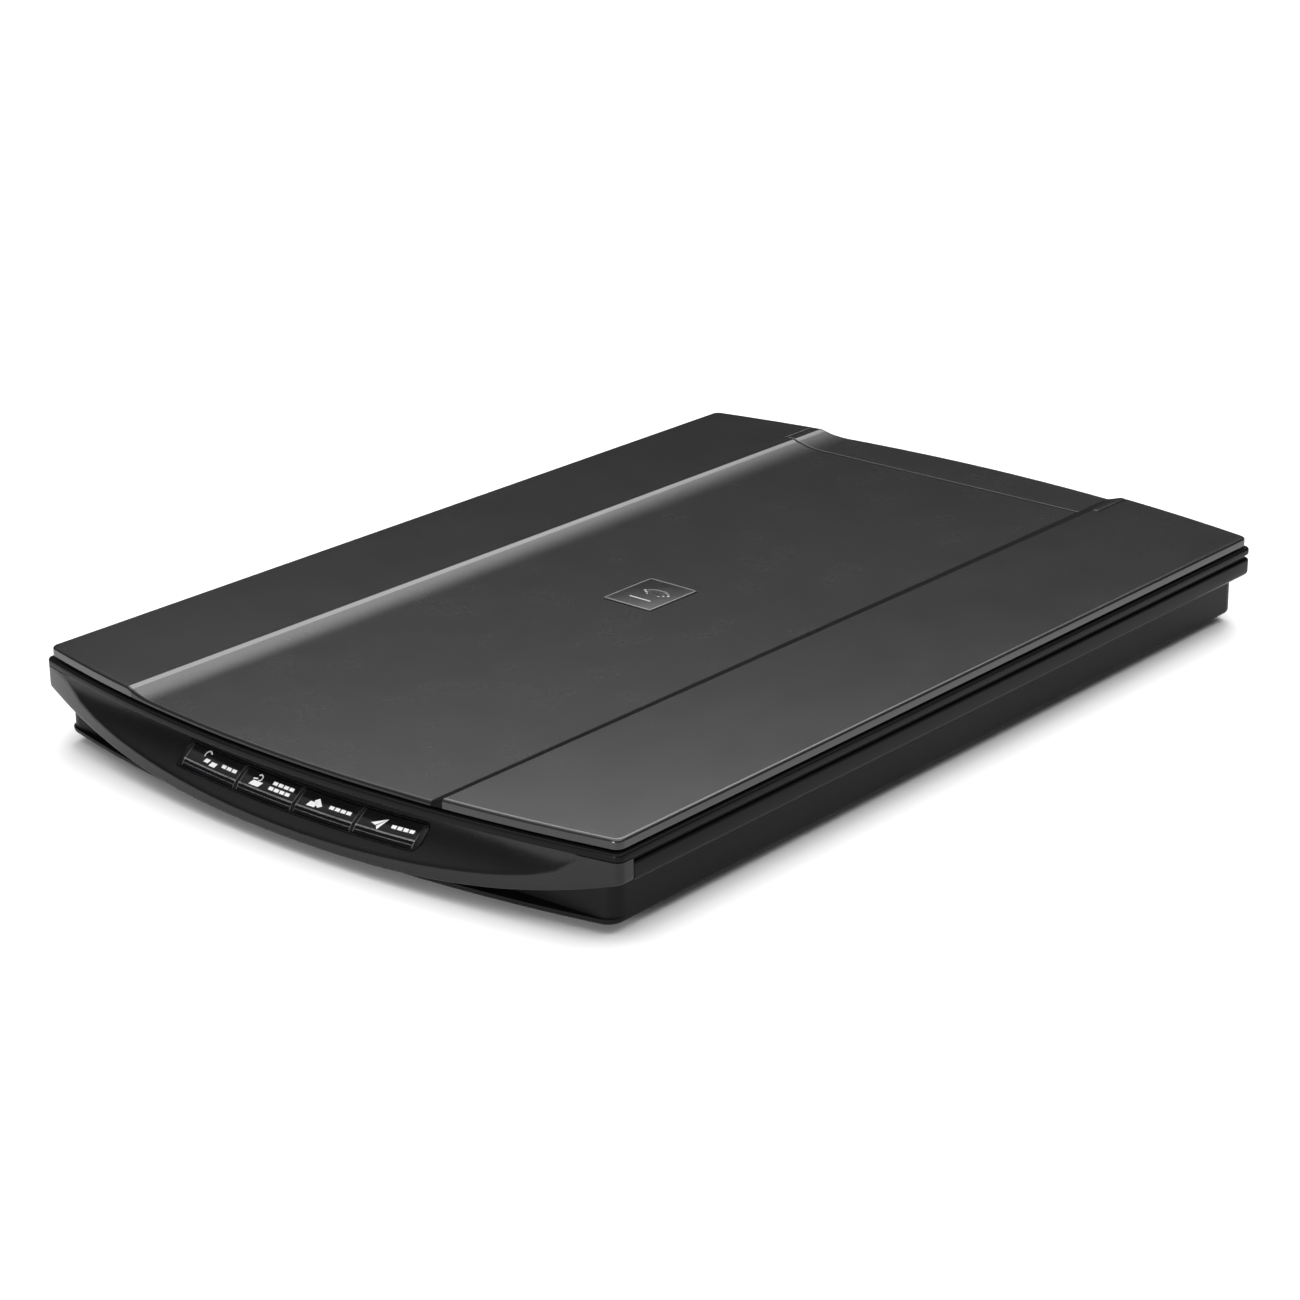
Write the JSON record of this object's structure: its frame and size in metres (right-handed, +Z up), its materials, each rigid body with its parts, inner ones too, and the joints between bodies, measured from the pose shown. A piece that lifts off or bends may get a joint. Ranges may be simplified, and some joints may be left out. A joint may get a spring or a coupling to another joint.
{
  "type": "flatbed scanner",
  "caption": "Slim document scanner: low black case with bowed ends, lifting hinged lid, glass platen, travelling sensor carriage and slanted front buttons.",
  "frame": {"origin": "on the table plane, below the middle of the case", "axes": "+Z up, -Y the front edge with the buttons, +Y the hinge edge, +X to the right seen from the front"},
  "size_m": [0.25, 0.372, 0.0325],
  "materials": {
    "case_black": "fine satin moulded surface",
    "tub_black": "matte fine grain",
    "lid_black": "fine satin with very light grain",
    "fascia_black": "smooth satin",
    "gloss_black": "glossy",
    "inner_black": "plain matte",
    "carriage_black": "glass-filled matte",
    "gear_white": "natural acetal",
    "rack_grey": "natural acetal, dark",
    "glass": "clear float glass",
    "window_glass": "thin clear glass",
    "clear_guide": "clear acrylic light guide",
    "lens_dark": "dark resin with lens rods",
    "tape": "black adhesive tape",
    "white_strip": "even matte white",
    "white_sheet": "even matte white",
    "foam": "open-cell foam",
    "rubber": "soft rubber",
    "steel": "bright steel",
    "zinc": "zinc plated",
    "spring_steel": "drawn wire",
    "motor_can": "plated can",
    "nickel": "nickel plated shell",
    "board_green": "solder mask",
    "chip": "moulded package",
    "connector": "natural nylon",
    "flex": "flat flexible cable",
    "switch_body": "moulded body"
  },
  "bodies": {
    "base": {"upper_frame": "case_black", "lower_case": "tub_black", "rubber_feet": "rubber", "case_screws": "zinc", "front_fascia": "fascia_black", "button_surround": "gloss_black", "tact_switches": "switch_body", "button_board": "board_green", "platen_glass": "glass", "glass_tape": "tape", "white_reference_strip": "white_strip", "drive_rack": "rack_grey", "guide_shaft": "steel", "shaft_clips": "inner_black", "main_board": "board_green", "board_screws": "zinc", "board_chips": "chip", "usb_socket": "nickel", "flex_connector": "connector"},
    "hinge_unit": {"hinge_cover": "lid_black", "hinge_leg_left": "inner_black", "hinge_leg_right": "inner_black", "hinge_pins": "steel"},
    "lid": {"lid_cover": "lid_black", "lid_inner_panel": "inner_black", "white_sheet": "white_sheet", "foam_pad": "foam", "lid_bumpers": "rubber", "panel_screws": "zinc", "lid_badge": "gloss_black"},
    "carriage": {"carriage_tray": "carriage_black", "gear_axle": "steel", "stepper_motor": "motor_can", "motor_screws": "zinc", "head_springs": "spring_steel", "flex_cable": "flex"},
    "sensor": {"sensor_head": "inner_black", "sensor_window": "window_glass", "rod_lens_array": "lens_dark", "light_guide": "clear_guide", "sensor_board": "board_green", "glide_pads": "gear_white"},
    "gear": {"reduction_gear": "gear_white"},
    "pinion": {"motor_pinion": "gear_white", "motor_spindle": "steel"},
    "lock": {"lock_switch": "inner_black"},
    "button_1_body": {"button_1": "gloss_black"},
    "button_2_body": {"button_2": "gloss_black"},
    "button_3_body": {"button_3": "gloss_black"},
    "button_4_body": {"button_4": "gloss_black"}
  },
  "joints": [
    {"name": "hinge_lift", "type": "slide", "parent": "base", "child": "hinge_unit", "axis": [0, 0, 1], "range_m": [0, 0.015]},
    {"name": "lid_hinge", "type": "hinge", "parent": "hinge_unit", "child": "lid", "pos_m": [0, 0.1766, 0.031], "axis": [-1, 0, 0], "range_deg": [0, 105]},
    {"name": "carriage_slide", "type": "slide", "parent": "base", "child": "carriage", "axis": [0, 1, 0], "range_m": [0, 0.292], "deforming": ["flex_cable"]},
    {"name": "sensor_float", "type": "slide", "parent": "carriage", "child": "sensor", "axis": [0, 0, -1], "range_m": [0, 0.0008], "stiffness_N_per_m": 600, "springref_m": -0.005, "deforming": ["head_springs"]},
    {"name": "gear_spin", "type": "hinge", "parent": "carriage", "child": "gear", "pos_m": [0.0048, -0.135, 0.0075], "axis": [0, 0, 1], "range_deg": [-5, 3491]},
    {"name": "motor_spin", "type": "hinge", "parent": "carriage", "child": "pinion", "pos_m": [-0.0088, -0.135, 0.009], "axis": [0, 0, 1], "range_deg": [-8371, 5]},
    {"name": "lock_slide", "type": "slide", "parent": "base", "child": "lock", "axis": [0, 1, 0], "range_m": [0, 0.006]},
    {"name": "button_1_press", "type": "slide", "parent": "base", "child": "button_1_body", "axis": [0, 0.8001, -0.5999], "range_m": [0, 0.0006], "stiffness_N_per_m": 1500, "springref_m": -0.0005},
    {"name": "button_2_press", "type": "slide", "parent": "base", "child": "button_2_body", "axis": [0, 0.8001, -0.5999], "range_m": [0, 0.0006], "stiffness_N_per_m": 1500, "springref_m": -0.0005},
    {"name": "button_3_press", "type": "slide", "parent": "base", "child": "button_3_body", "axis": [0, 0.8001, -0.5999], "range_m": [0, 0.0006], "stiffness_N_per_m": 1500, "springref_m": -0.0005},
    {"name": "button_4_press", "type": "slide", "parent": "base", "child": "button_4_body", "axis": [0, 0.8001, -0.5999], "range_m": [0, 0.0006], "stiffness_N_per_m": 1500, "springref_m": -0.0005}
  ],
  "couplings": [
    {"joint": "gear_spin", "follows": "carriage_slide", "rad_per_m": 208.33},
    {"joint": "motor_spin", "follows": "carriage_slide", "rad_per_m": -500}
  ]
}
